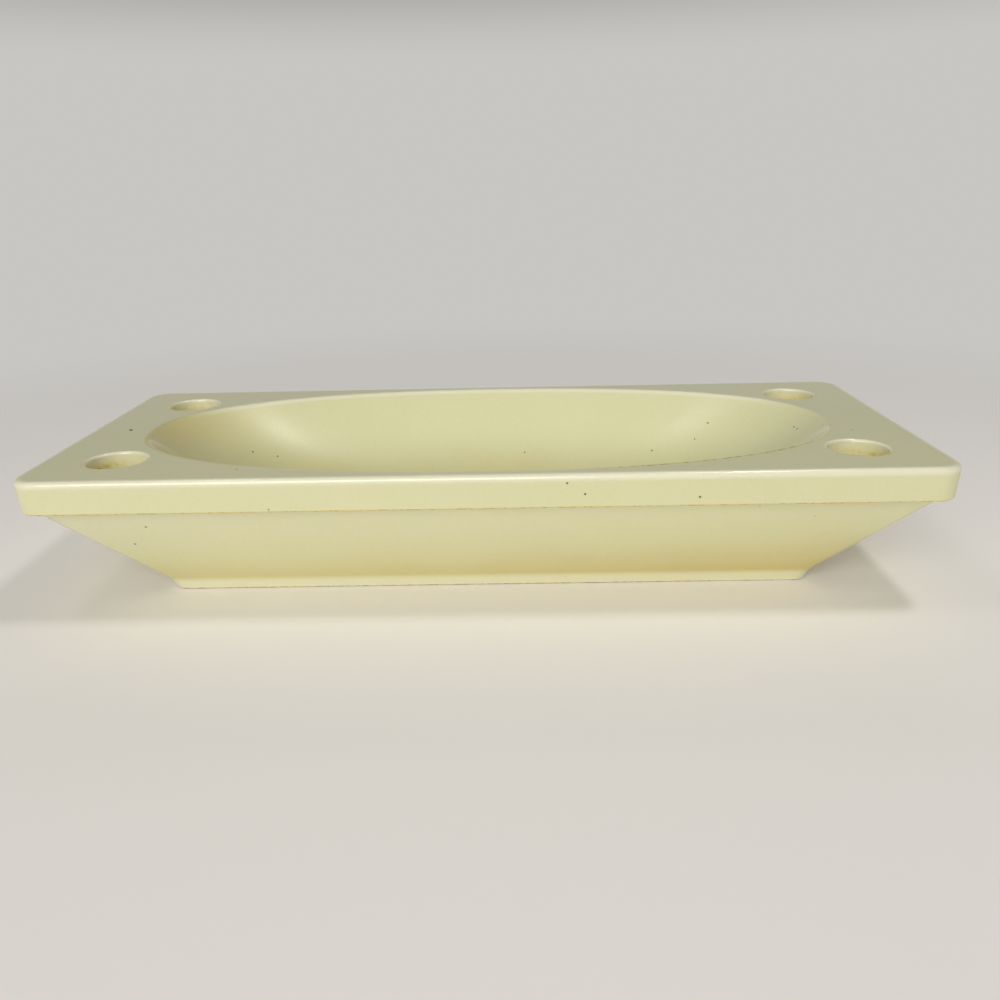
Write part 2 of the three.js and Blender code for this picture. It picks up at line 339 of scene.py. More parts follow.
def lattice(shape: Sequence[Vector], spacing: float) -> list[Vector]:
    """Gives a triangular lattice of points over the box of a flat shape.

    Args:
        shape: the outline of the shape.
        spacing: distance between neighbours.

    Returns:
        The points.
    """
    low = Vector((min(p.x for p in shape), min(p.y for p in shape)))
    high = Vector((max(p.x for p in shape), max(p.y for p in shape)))
    row_step = spacing * math.sqrt(3) / 2
    places = []
    for row in range(1, int((high.y - low.y) / row_step)):
        shift = spacing / 2 * (row % 2)
        for column in range(int((high.x - low.x) / spacing)):
            places.append(Vector((low.x + shift + column * spacing, low.y + row * row_step)))
    return places


def clearance(place: Vector, shape: Sequence[Vector], inside: bool) -> float:
    """Measures how far a point keeps to the wanted side of a bulging outline.

    Args:
        place: the point.
        shape: the outline, anticlockwise.
        inside: whether the wanted side is the inside.

    Returns:
        The distance, below zero on the wrong side.
    """
    depth = math.inf
    for start, end in zip(shape, [*shape[1:], shape[0]]):
        along = end - start
        depth = min(depth, along.cross(place - start) / along.length)
    return depth if inside else -depth


def shown(name: str, data: Any) -> Object:
    """Puts an object with the given data in the scene, unturned at the origin.

    Args:
        name: the object's name.
        data: its mesh, lamp or camera.

    Returns:
        The object.
    """
    obj = bpy.data.objects.new(name, data)
    bpy.context.scene.collection.objects.link(obj)
    return obj


def finish_mesh(mesh: Mesh) -> None:
    """Turns a closed mesh's faces outwards and shades it smooth but for its true edges.

    Args:
        mesh: the mesh.
    """
    work = bmesh.new()
    work.from_mesh(mesh)
    bmesh.ops.recalc_face_normals(work, faces=work.faces)
    work.to_mesh(mesh)
    work.free()
    mesh.shade_smooth()
    mesh.set_sharp_from_angle(angle=SHARPEST_CURVE)
    mesh.update()


def bezier(controls: Sequence[Vector], share: float) -> Vector:
    """Gives a place on a Bezier curve.

    Args:
        controls: its control points.
        share: how far along, from 0 to 1.

    Returns:
        The point.
    """
    points = list(controls)
    while len(points) > 1:
        points = [start.lerp(end, share) for start, end in zip(points, points[1:])]
    return points[0]


def add_node(
    tree: NodeTree,
    kind: str,
    settings: Mapping[str, Any] | None = None,
    inputs: Mapping[str | int, Any] | None = None,
) -> Node:
    """Adds a node with its settings and links.

    Args:
        tree: the node tree.
        kind: the node's type.
        settings: its properties by name.
        inputs: its sockets by name or number, each with a plain value, a socket, or a node whose
            first output is meant.

    Returns:
        The new node.
    """
    node = tree.nodes.new(kind)
    for name, value in (settings or {}).items():
        setattr(node, name, value)
    for key, value in (inputs or {}).items():
        if isinstance(value, Node):
            value = value.outputs[0]
        if isinstance(value, NodeSocket):
            tree.links.new(value, node.inputs[key])
        else:
            node.inputs[key].default_value = value
    return node


def empty_tree(owner: Material | World) -> NodeTree:
    """Turns on the nodes of a material or a world and clears them.

    Args:
        owner: the material or the world.

    Returns:
        Its empty tree.
    """
    owner.use_nodes = True
    owner.node_tree.nodes.clear()
    return owner.node_tree


def settle(obj: Object) -> None:
    """Turns what an object's modifiers make into its plain mesh, and removes them.

    Args:
        obj: the object.
    """
    evaluated = obj.evaluated_get(bpy.context.evaluated_depsgraph_get())
    made = bpy.data.meshes.new_from_object(evaluated)
    obj.modifiers.clear()
    obj.data = made
    finish_mesh(made)


# The oval bowl

@dataclass(frozen=True)
class Bowl:
    """The oval bowl: one section across it, stretched along its length so that every level is oval.

    Its fullness is 2 for an ellipse, and more fills the oval out towards its four corners. Its
    glaze is painted deeper in tone towards its left end, as painted shade.
    """

    body: BodySizes
    grid: Grid
    to_long_edge: float = 5.8
    to_end: float = 28.0
    fullness: float = 2.25
    left_shade: float = 0.32
    full_start: float = 100.0
    full_end: float = 132.0
    near_lead: float = 0.5
    depth: float = 40.0
    wall_angle: float = math.radians(33)
    wall_drop: float = 34.0
    floor_width: float = 82.0
    lip_radius: float = 2.0

    @property
    def half_width(self) -> float:
        """Half the width of the mouth, before its lip is rounded."""
        return self.body.half_depth - self.to_long_edge

    @property
    def stretch(self) -> float:
        """How many times longer than wide the bowl is."""
        return (self.body.half_length - self.to_end) / self.half_width

    @property
    def controls(self) -> list[Vector]:
        """Control points of the section.

        Returns:
            Each one's half width and height, from the mouth to the middle of the floor.
        """
        floor, under_wall = self.body.top - self.depth, self.body.top - self.wall_drop
        return [
            Vector((self.half_width, self.body.top)),
            Vector((self.half_width - math.tan(self.wall_angle) * self.wall_drop, under_wall)),
            Vector((self.floor_width / 2, floor)),
            Vector((0.0, floor)),
        ]

    def place(self, share: float) -> Vector:
        """Gives a place of the section, from the mouth at 0 to the middle of the floor at 1."""
        return bezier(self.controls, share)

    def run(self, share: float) -> Vector:
        """Gives the direction in which the section runs down at a place."""
        legs = [end - start for start, end in zip(self.controls, self.controls[1:])]
        return bezier(legs, share).normalized()

    def share_at(self, height: float) -> float:
        """Finds the place of the section at a height, by halving.

        Args:
            height: the height.

        Returns:
            The share of the section down to that place.
        """
        low, high = 0.0, 1.0
        for _ in range(HALVINGS):
            middle = (low + high) / 2
            if self.place(middle).y > height:
                low = middle
            else:
                high = middle
        return low

    def left_shade_at(self, place: Vector) -> float:
        """Gives how much the coat deepens at a place, steeply rising towards the left end, as painted shade.
        """
        return self.left_shade * max(0.0, -place.x / (self.stretch * self.half_width)) ** LEFT_SHADE_POWER

    def edge_coat(self, wear: float) -> Tone:
        """Gives the rule of the coat near the bowl's edge, worn thin and pale but at the two ends; the pale
        tone also stands in for the lip's highlight.

        Args:
            wear: how thin it is, from 0 for its full thickness to 1.

        Returns:
            The rule that gives the coat at a place.
        """
        def rule(place: Vector) -> float:
            """Gives the coat at a place, full towards the ends, and sooner so on the near side.

            Args:
                place: the place.

            Returns:
                The coat.
            """
            towards_end = abs(place.x) - self.near_lead * place.y
            worn_off = wear * (1 - ease(towards_end, self.full_start, self.full_end))
            return Coat.FACE * (1 - worn_off) + self.left_shade_at(place)
        return rule

    def stations(self, share: float) -> list[tuple[Vector, Vector]]:
        """Gives points round the bowl at one place of the section.

        Args:
            share: the place of the section.

        Returns:
            Each point with its direction into the clay.
        """
        place, run = self.place(share), self.run(share)
        stations = []
        for step in range(self.grid.oval):
            turn = step / self.grid.oval * math.tau
            cos, sin = math.cos(turn), math.sin(turn)
            reach = (abs(cos) ** self.fullness + abs(sin) ** self.fullness) ** (-1 / self.fullness)
            length, width = cos * reach, sin * reach
            fall, rise = (math.copysign(abs(part) ** (self.fullness - 1), part) for part in (width, length))
            around = Vector((-self.stretch * fall, rise, 0))
            down = Vector((self.stretch * run.x * length, run.x * width, run.y))
            point = Vector((self.stretch * place.x * length, place.x * width, place.y))
            stations.append((point, down.cross(around).normalized()))
        return stations

    def ring(self, share: float, outwards: float = 0.0) -> Ring:
        """Gives the ring at one place of the section, pushed into the clay by a distance."""
        return [point + into_clay * outwards for point, into_clay in self.stations(share)]

    def lip(self, share: float) -> Ring:
        """Gives a ring of the rounded lip.

        Args:
            share: how far round the lip it lies, from the wall at 0 to the flat top at 1.

        Returns:
            The points.
        """
        ring = []
        for point, into_clay in self.stations(0.0):
            level = Vector((into_clay.x, into_clay.y, 0)).normalized()
            turn = math.pi / 2 - math.asin(-into_clay.z)
            angle = turn * (1 - share)
            reach = self.lip_radius * (math.tan(turn / 2) - math.sin(angle))
            drop = self.lip_radius * (1 - math.cos(angle))
            ring.append(point + level * reach - Vector((0, 0, drop)))
        return ring


class TurnedForm:
    """A closed solid turned from a profile by Geometry Nodes, stretched to an oval and repeated."""

    tree: NodeTree | None = None

    def __init__(self, name: str, material: Material) -> None:
        """Starts a form without a profile.

        Args:
            name: the piece's name.
            material: the glaze that it wears.
        """
        self.name = name
        self.material = material
        self.points: list[Vector] = []
        self.runs: list[Vector] = []
        self.values: dict[str, list[float]] = {"skin": [], "coat": [], "darkening": []}

    def add(self, radius: float, height: float, coat: float, darkening: float = 0.0,
            run: Vector | None = None, skin: float = 0.0) -> None:
        """Adds the profile's next point.

        Args:
            radius: its distance from the axis, across the form.
            height: its level.
            coat: how thick the glaze lies there.
            darkening: how much darker and browner the glaze is there, from 0 to 1.
            run: the direction of the profile there, needed for a skin.
            skin: how far the surface is pushed out along its normal.
        """
        self.points.append(Vector((radius, 0, height)))
        self.runs.append(Vector((run.x, 0, run.y)) if run else Vector())
        for label, value in (("skin", skin * MM), ("coat", float(coat)), ("darkening", darkening)):
            self.values[label].append(value)

    @classmethod
    def nodes(cls) -> NodeTree:
        """Builds the tree once, with its sizes as named inputs.

        Returns:
            The tree, which turns a profile's points row by row into oval rings.
        """
        if cls.tree:
            return cls.tree
        tree = bpy.data.node_groups.new("turned_form", "GeometryNodeTree")
        for kind, names in (
            ("Geometry", ("Profile",)), ("Int", ("Steps Around", "Copies")), ("Material", ("Glaze",)),
            ("Float", ("Stretch", "Fullness", "Rim Height", "Half Length", "Left Shade")),
            ("Float", ("Spacing Along", "Spacing Across")),
        ):
            for name in names:
                tree.interface.new_socket(name, in_out="INPUT", socket_type="NodeSocket" + kind)
        tree.interface.new_socket("Solid", in_out="OUTPUT", socket_type="NodeSocketGeometry")
        given = add_node(tree, "NodeGroupInput").outputs
        position = add_node(tree, "GeometryNodeInputPosition")
        cell = add_node(tree, "ShaderNodeSeparateXYZ", inputs={0: position})

        # A grid of size 1 is bent to the form: its rows follow the profile, its columns go around.
        known: dict[str, Any] = {
            "rows": add_node(tree, "GeometryNodeAttributeDomainSize", inputs={0: given["Profile"]}),
            "x": cell.outputs["X"], "y": cell.outputs["Y"], "steps": given["Steps Around"],
            "fullness": given["Fullness"], "stretch": given["Stretch"],
        }
        for name, operation, *terms in (
            ("seam", "ADD", "steps", 1.0), ("last", "SUBTRACT", "rows", 1.0),
            ("along", "ADD", "x", 0.5), ("place", "MULTIPLY", "along", "last"), ("row", "ROUND", "place"),
            ("share", "ADD", "y", 0.5), ("turn", "MULTIPLY", "share", math.tau),
            ("cos", "COSINE", "turn"), ("cos size", "ABSOLUTE", "cos"), ("cos side", "SIGN", "cos"),
            ("sin", "SINE", "turn"), ("sin size", "ABSOLUTE", "sin"), ("sin side", "SIGN", "sin"),
            ("cos power", "POWER", "cos size", "fullness"), ("sin power", "POWER", "sin size", "fullness"),
            ("total", "ADD", "cos power", "sin power"), ("root", "DIVIDE", -1.0, "fullness"),
            ("reach", "POWER", "total", "root"), ("bend", "SUBTRACT", "fullness", 1.0),
            ("length", "MULTIPLY", "cos", "reach"), ("length size", "ABSOLUTE", "length"),
            ("width", "MULTIPLY", "sin", "reach"), ("width size", "ABSOLUTE", "width"),
            ("steep", "POWER", "length size", "bend"), ("rise", "MULTIPLY", "steep", "cos side"),
            ("gentle", "POWER", "width size", "bend"), ("fall", "MULTIPLY", "gentle", "sin side"),
            ("back", "MULTIPLY", "fall", -1.0), ("sideways", "MULTIPLY", "stretch", "back"),
            ("long", "MULTIPLY", "stretch", "length"),
        ):
            known[name] = add_node(tree, "ShaderNodeMath", {"operation": operation}, {
                i: known[term] if isinstance(term, str) else term for i, term in enumerate(terms)
            })
        sheet = add_node(tree, "GeometryNodeMeshGrid", inputs={
            "Size X": 1.0, "Size Y": 1.0, "Vertices X": known["rows"], "Vertices Y": known["seam"],
        })
        oval = add_node(tree, "ShaderNodeCombineXYZ", inputs={0: known["long"], 1: known["width"], 2: 1.0})
        around = add_node(tree, "ShaderNodeCombineXYZ", inputs={
            0: known["sideways"], 1: known["rise"], 2: 0.0,
        })

        read: dict[str, Node] = {}
        for kind, labels in (("FLOAT_VECTOR", ("place", "run")), ("FLOAT", ("skin", "coat", "darkening"))):
            for label in labels:
                source = position if label == "place" else add_node(
                    tree, "GeometryNodeInputNamedAttribute", {"data_type": kind}, {"Name": label},
                )
                read[label] = add_node(tree, "GeometryNodeSampleIndex", {"data_type": kind}, {
                    0: given["Profile"], 1: source, 2: known["row"],
                })

        turned: list[Node] = []
        for label in ("place", "run"):
            flat = add_node(tree, "ShaderNodeSeparateXYZ", inputs={0: read[label]})
            both = add_node(tree, "ShaderNodeCombineXYZ", inputs={
                0: flat.outputs["X"], 1: flat.outputs["X"], 2: flat.outputs["Z"],
            })
            turned.append(add_node(tree, "ShaderNodeVectorMath", {"operation": "MULTIPLY"}, {
                0: both, 1: oval,
            }))
        surface, down = turned

        square = add_node(tree, "ShaderNodeVectorMath", {"operation": "CROSS_PRODUCT"}, {0: down, 1: around})
        normal = add_node(tree, "ShaderNodeVectorMath", {"operation": "NORMALIZE"}, {0: square})
        push = add_node(tree, "ShaderNodeVectorMath", {"operation": "SCALE"}, {
            0: normal, "Scale": read["skin"],
        })
        grown = add_node(tree, "ShaderNodeVectorMath", {"operation": "ADD"}, {0: surface, 1: push})
        parts = add_node(tree, "ShaderNodeSeparateXYZ", inputs={0: grown})
        level = add_node(tree, "ShaderNodeMath", {"operation": "MINIMUM"}, {
            0: parts.outputs["Z"], 1: given["Rim Height"],
        })
        final = add_node(tree, "ShaderNodeCombineXYZ", inputs={
            0: parts.outputs["X"], 1: parts.outputs["Y"], 2: level,
        })

        # The coat deepens steeply towards the bowl's left end, as painted shade.
        coat: Any = parts.outputs["X"]
        for operation, *others in (
            ("DIVIDE", given["Half Length"]), ("MULTIPLY", -1.0), ("MAXIMUM", 0.0), ("POWER", LEFT_SHADE_POWER),
            ("MULTIPLY_ADD", given["Left Shade"], read["coat"]),
        ):
            terms = dict(enumerate([coat, *others]))
            coat = add_node(tree, "ShaderNodeMath", {"operation": operation}, terms)
        solid: Node = sheet
        for label, value in (("coat", coat), ("darkening", read["darkening"])):
            solid = add_node(tree, "GeometryNodeStoreNamedAttribute", {"data_type": "FLOAT"}, {
                "Geometry": solid, "Name": label, "Value": value,
            })
        solid = add_node(tree, "GeometryNodeSetPosition", inputs={"Geometry": solid, "Position": final})
        solid = add_node(tree, "GeometryNodeMergeByDistance", inputs={
            "Geometry": solid, "Distance": WELD_DISTANCE,
        })
        spots = add_node(tree, "GeometryNodeMeshGrid", inputs={
            "Size X": given["Spacing Along"], "Size Y": given["Spacing Across"],
            "Vertices X": given["Copies"], "Vertices Y": given["Copies"],
        })
        copies = add_node(tree, "GeometryNodeInstanceOnPoints", inputs={"Points": spots, "Instance": solid})
        real = add_node(tree, "GeometryNodeRealizeInstances", inputs={0: copies})
        dressed = add_node(tree, "GeometryNodeSetMaterial", inputs={
            "Geometry": real, "Material": given["Glaze"],
        })
        add_node(tree, "NodeGroupOutput", inputs={0: dressed})
        cls.tree = tree
        return tree

    def piece(self, sizes: Mapping[str, Any]) -> Object:
        """Makes the solid.

        Args:
            sizes: the tree's inputs by name, lengths in metres.

        Returns:
            The object, as a plain mesh.
        """
        mesh = bpy.data.meshes.new(self.name)
        rows = range(len(self.points) - 1)
        mesh.from_pydata([point * MM for point in self.points], [(i, i + 1) for i in rows], [])
        for label, values in self.values.items():
            mesh.attributes.new(label, "FLOAT", "POINT").data.foreach_set("value", values)
        runs = [number for run in self.runs for number in run]
        mesh.attributes.new("run", "FLOAT_VECTOR", "POINT").data.foreach_set("vector", runs)
        obj = shown(self.name, mesh)
        modifier = obj.modifiers.new("turned_form", "NODES")
        modifier.node_group = self.nodes()
        given = {
            "Rim Height": 1.0, "Stretch": 1.0, "Fullness": 2.0, "Half Length": 1.0, "Copies": 1,
            "Glaze": self.material, **sizes,
        }
        # The modifier knows its inputs by their sockets' identifiers.
        for item in modifier.node_group.interface.items_tree:
            if item.name in given:
                modifier[item.identifier] = given[item.name]
        settle(obj)
        return obj


# The members of the casting

def worn(share: float) -> float:
    """Gives the coat on a rounded edge, thinnest in its middle, where share runs from 0 to 1."""
    return Coat.FACE + (Coat.EDGE - Coat.FACE) * math.sin(math.pi * share)


@dataclass(frozen=True)
class Skirt:
    """Outline of the body from the tray to the table, which the side wall and the foot share.

    A level of it is a vector of half length, half depth, height and corner radius. Its glaze is
    paler at the wall's upper end, deeper in tone towards its lower end and paler again on the
    foot, and painted shade deepens it from the middle to the planter's right end.
    """

    body: BodySizes
    wall_skin: float = 3.6
    corner_radius: float = 6.0
    foot_draft: float = 1.5
    foot_edge: float = 0.8
    flare: float = 0.6
    fill_rise: float = 2.0
    fill_drop: float = 1.6
    guard: float = 0.3
    high_coat: float = 0.3
    low_coat: float = 0.78
    foot_coat: float = 0.2
    run_power: float = 1.5
    # How much painted shade deepens the coat towards the right end.
    right_shade: float = 0.16

    @property
    def foot_top(self) -> Vector:
        """The foot's widest level, where the wall comes down on it."""
        body = self.body
        return Vector((body.foot_length, body.foot_depth, body.foot_height, self.corner_radius))

    @property
    def foot_bottom(self) -> Vector:
        """The foot's level just above its rounded lower edge."""
        low = self.foot_top - margin(self.foot_draft)
        return Vector((low.x, low.y, self.foot_edge, self.corner_radius))

    @property
    def slope(self) -> Vector:
        """How a level changes for each millimetre up the wall.

        Returns:
            Its change in half length, half depth, height and corner radius.
        """
        fall = self.body.band_bottom - self.body.foot_height
        along = self.body.wall_top_length - self.foot_top.x
        across = self.body.wall_top_depth - self.foot_top.y
        return Vector((along / fall, across / fall, 1.0, 0.0))

    def wall(self, height: float) -> Vector:
        """Gives the wall's outer level at a height."""
        return self.foot_top + self.slope * (height - self.body.foot_height)

    def inside(self, height: float, gap: float = 0.0) -> Vector:
        """Gives the wall's inner level at a height, less a gap."""
        along, across = (self.wall_skin * math.hypot(1, fall) + gap for fall in self.slope.xy)
        return self.wall(height) - Vector((along, across, 0, self.wall_skin))

    def under_band(self, share: float) -> Vector:
        """Gives a level where the wall flares out under the band.

        Args:
            share: how far down, from the band at 0 to the straight wall at 1.

        Returns:
            The level.
        """
        height = self.body.band_bottom
        top, below = self.wall(height), self.wall(height - 2 * self.flare)
        return bezier([top - margin(-self.flare), top, below], share)

    def fill_coat(self, share: float) -> float:
        """Gives the coat in the hollow over the foot, from the wall's side at 0 to the foot's at 1."""
        return self.low_coat + (self.foot_coat - self.low_coat) * ease(share, 0, 1)

    def shaded_right(self, coat: float) -> Tone:
        """Gives the rule of a coat that grows towards the right end, as painted shade.

        Args:
            coat: the coat from the left end to the middle, which may be bare clay.

        Returns:
            The rule, or the coat itself where it is bare.
        """
        if coat < Coat.EDGE:
            return coat
        return lambda place: coat + self.right_shade * max(0.0, place.x) / self.body.half_length

    def fill(self, share: float) -> Vector:
        """Gives a level of the glaze gathered in the hollow over the foot.

        Args:
            share: how far down, from the wall's side at 0 to the foot's at 1.

        Returns:
            The level.
        """
        drop = self.fill_drop / (self.foot_top.z - self.foot_bottom.z)
        lower = self.foot_top.lerp(self.foot_bottom, drop)
        return bezier([self.wall(self.body.foot_height + self.fill_rise), self.foot_top, lower], share)


@dataclass(frozen=True)
class RimTray:
    """The flat top with its band, the lips of the basin and the sockets, and a hollow at each end.

    The glaze is thin and pale on its lips and edges, where the pale tone also stands in for their
    highlight, and back to its full thickness at the wear from them. In the sockets the thin, pale
    tone is painted light, so that the bores read as brightly lit. Painted shade darkens the corner
    under the band; the glaze is darker along the near side of the basin's lip, most on the right,
    and in the sockets, darker down the bores and most towards the planter's ends.
    """

    body: BodySizes
    bowl: Bowl
    skirt: Skirt
    grid: Grid
    corner_radius: float = 9.0
    band_draft: float = 0.6
    top_radius: float = 1.8
    lower_radius: float = 0.9
    slab: float = 6.0
    collar: float = 5.0
    pocket_length: float = 62.0
    socket_lip: float = 1.1
    guard: float = 0.4
    guard_wear: float = 0.8
    guard_darkness: float = 0.7
    wear: float = 1.2
    bore_darkening_depth: float = 9.0
    lit_bore_coat: float = 0.2
    under_band_shade: float = 0.8
    lip_darkness: float = 0.25
    near_right_darkness: float = 1.1
    darker_from: float = 30.0
    darker_to: float = 141.0
    darker_fade: float = 26.0
    end_darkness: float = 0.9

    def lip_darkening(self, place: Vector) -> float:
        """Gives how much darker the basin's lip is: along its near side, and most on the right of that.

        Args:
            place: a place on the lip.

        Returns:
            How much darker the glaze is there.
        """
        near_right_darkness = ease(place.x, self.darker_from, self.darker_from + self.darker_fade)
        near_right_darkness *= 1 - ease(place.x, self.darker_to - self.darker_fade, self.darker_to)
        return (self.lip_darkness + self.near_right_darkness * near_right_darkness) * ease(-place.y, 0, self.darker_fade)

    def band(self, clay: ClayMesh) -> list[list[int]]:
        """Adds the rings of the band, from the wall under it up to the flat top.

        Args:
            clay: the mesh that takes them.

        Returns:
            The numbers of each ring's points.
        """
        low, high = self.body.band_bottom, self.body.top
        start, end = low + self.lower_radius, high - self.top_radius
        steps = self.grid.fillet
        lower = arc((self.lower_radius, start), self.lower_radius, 270, 180, steps)
        upper = arc((self.top_radius, end), self.top_radius, 180, 90, steps)
        fall = self.band_draft / (end - start)
        outline = [
            (self.band_draft + self.lower_radius + self.guard, low, Coat.FACE),
            *((self.band_draft + inset, z, Coat.FACE) for inset, z in lower),
            (self.band_draft - fall * self.guard, start + self.guard, Coat.FACE),
            (fall * self.wear, end - self.wear, Coat.FACE),
            # The top edge gets the thin, pale tone, which also stands in for its highlight.
            *((inset, z, Coat.EDGE) for inset, z in upper),
            (self.top_radius + self.wear, high, Coat.FACE),
        ]
        # Painted shade: the corner under the band and the band's lower edge are darkened, standing in for the
        # shadow there.
        under_band = rounded_rectangle(self.skirt.under_band(0), self.grid)
        rings = [clay.ring(under_band, Coat.FACE, self.under_band_shade)]
        for inset, height, coat in outline:
            level = Vector((self.body.half_length, self.body.half_depth, height, self.corner_radius))
            darkness = self.under_band_shade * (1 - ease(height, low + self.lower_radius / 2, start))
            rings.append(clay.ring(rounded_rectangle(level - margin(inset), self.grid), coat, darkness))
        return rings

    def basin_mouth(self, clay: ClayMesh) -> list[list[int]]:
        """Adds the rings of the bowl's upper wall and its lip, from the seam up to the flat top.

        Args:
            clay: the mesh that takes them.

        Returns:
            The numbers of each ring's points.
        """
        seam = self.bowl.share_at(self.body.band_bottom)
        under_lip = self.bowl.share_at(self.body.top - self.bowl.lip_radius)
        rings = [
            clay.ring(self.bowl.ring(seam + (under_lip - seam) * share), self.bowl.edge_coat(0.0))
            for share in shares(self.grid.bowl // 4)
        ]

        def darkened(amount: float) -> Tone:
            """Gives the rule of a share of the lip's darkening."""
            return lambda place: amount * self.lip_darkening(place)

        # The lip gets the thin, pale tone, which also stands in for its highlight, and it darkens along its
        # near side.
        for share in shares(self.grid.lip):
            rings.append(clay.ring(self.bowl.lip(share), self.bowl.edge_coat(1.0), darkened(share)))
        for reach, coat, darkness in (
            (self.guard, self.bowl.edge_coat(self.guard_wear), self.guard_darkness),
            (self.wear, Coat.FACE, 0.0),
        ):
            outer = [
                point + Vector((into_clay.x, into_clay.y, 0)).normalized() * reach
                for point, (_, into_clay) in zip(self.bowl.lip(1.0), self.bowl.stations(0.0))
            ]
            rings.append(clay.ring(outer, coat, darkened(darkness)))
        return rings

    def socket_mouth(self, clay: ClayMesh, x: float, y: float) -> list[list[int]]:
        """Adds the rings of one socket's bore and lip, from under the slab up to the flat top.

        Args:
            clay: the mesh that takes them.
            x: the socket's place along the planter.
            y: its place across.

        Returns:
            The numbers of each ring's points.
        """
        radius, lip, top, low = self.body.bore / 2, self.socket_lip, self.body.top, self.body.band_bottom
        rise = top - lip - self.guard - low
        outline = [(radius, low + rise * share) for share in shares(self.grid.run)]
        outline += arc((radius + lip, top - lip), lip, 180, 90, self.grid.fillet)
        outline += [(radius + lip + self.guard, top), (radius + lip + self.wear, top)]

        def darkening(place: Vector) -> float:
            """Gives how much darker the bore is: most down from its lip and towards the planter's end.

            Args:
                place: a place on the bore or its lip.

            Returns:
                How much darker the glaze is there.
            """
            outward = ease((place.x - x) * math.copysign(1, x), -radius / 2, radius)
            down = ease(top - place.z, lip, self.bore_darkening_depth)
            near = ease(y - place.y, 0, radius) * ease(place.z, top - lip, top)
            edge = 1 - ease((place.xy - Vector((x, y))).length, radius + lip, radius + lip + self.wear)
            return self.body.bore_darkness * down + self.end_darkness * outward * (down + near * edge)

        rings = []
        for out, z in outline:
            depth = max(top - z, out - radius - lip)
            # Painted light: the bore gets the thin, pale tone so that it reads as brightly lit, and on the
            # lip the pale tone stands in for its highlight.
            coat = Coat.FACE if z == top else self.lit_bore_coat * ease(depth, 0, lip)
            rings.append(clay.ring(circle(x, y, out, z, self.grid.socket), coat, darkening))
        return rings

    def pockets(self, material: Material) -> Object:
        """Makes the shape of the hollow under each end of the slab, round the collar of the basin.

        Args:
            material: a material for the surfaces that it cuts.

        Returns:
            The shape.
        """
        slab_bottom = self.body.top - self.slab
        under = self.body.band_bottom - self.slab
        inner = self.skirt.inside(self.body.band_bottom)
        block = ClayMesh()
        for side in (-1, 1):
            shift = Vector((side * (inner.x - self.pocket_length / 2), 0, 0))
            rings = []
            for height in (under, slab_bottom):
                level = Vector((self.pocket_length / 2, inner.y, height, inner.w))
                outline = [point + shift for point in rounded_rectangle(level, self.grid)]
                rings.append(block.ring(outline, Coat.BARE))
            block.loft(rings)
            block.faces += [tuple(rings[0]), tuple(rings[1])]
        collar = ClayMesh()
        deepest = self.bowl.share_at(under - self.slab)
        rings = [
            collar.ring(self.bowl.ring(deepest * (1 - share), self.collar), Coat.BARE)
            for share in shares(self.grid.lip)
        ]
        collar.loft(rings)
        collar.faces += [tuple(rings[0]), tuple(rings[-1])]
        pockets = block.piece("pockets", material)
        cut(pockets, collar.piece("collar", material))
        return pockets

    def build(self, material: Material) -> Object:
        """Builds the tray.

        Args:
            material: the glaze that it wears.

        Returns:
            The finished piece.
        """
        clay = ClayMesh()
        band = self.band(clay)
        mouth = self.basin_mouth(clay)
        sockets = [
            self.socket_mouth(clay, side_x * self.body.cup_x, side_y * self.body.cup_y)
            for side_x in (-1, 1) for side_y in (-1, 1)
        ]
        for rings in (band, mouth, *sockets):
            clay.loft(rings)
        holes = (mouth, *sockets)
        clay.plate(band[-1], [rings[-1] for rings in holes], self.grid.plate, Coat.FACE)
        clay.plate(band[0], [rings[0] for rings in holes], self.grid.plate, Coat.BARE)
        tray = clay.piece("tray", material)
        cut(tray, self.pockets(material))
        return tray


def cut(obj: Object, cutter: Object) -> None:
    """Cuts one closed solid out of another and deletes the cutter.

    Args:
        obj: the solid that is cut.
        cutter: the solid that is taken away.
    """
    modifier = obj.modifiers.new("cut", "BOOLEAN")
    modifier.operation = "DIFFERENCE"
    modifier.solver = "EXACT"
    modifier.object = cutter
    settle(obj)
    bpy.data.objects.remove(cutter)


@dataclass(frozen=True)
class OvalBasin:
    """The bowl that hangs under the tray, a skin of even thickness."""

    body: BodySizes
    bowl: Bowl
    grid: Grid
    skin: float = 3.5
    floor_gather: float = 0.2

    def build(self, material: Material) -> Object:
        """Builds the basin.

        Args:
            material: the glaze that it wears.

        Returns:
            The finished piece.
        """
        form = TurnedForm("basin", material)
        rim = self.bowl.share_at(self.body.band_bottom)
        above_rim = self.bowl.share_at(self.body.band_bottom + self.skin)
        way = shares(self.grid.bowl)
        for share in way:
            place = self.bowl.place(1 + (rim - 1) * share)
            pool = ease(place.y, self.body.band_bottom, self.bowl.controls[-1].y)
            form.add(place.x, place.y, Coat.FACE + self.floor_gather * pool)
        for down in (above_rim + (1 - above_rim) * share for share in way):
            place = self.bowl.place(down)
            form.add(place.x, place.y, Coat.BARE, run=self.bowl.run(down), skin=self.skin)
        # The coat deepens towards the left end, as painted shade.
        return form.piece({
            "Steps Around": self.grid.oval, "Stretch": self.bowl.stretch, "Fullness": self.bowl.fullness,
            "Rim Height": self.body.band_bottom * MM, "Left Shade": self.bowl.left_shade,
            "Half Length": self.bowl.stretch * self.bowl.half_width * MM,
        })


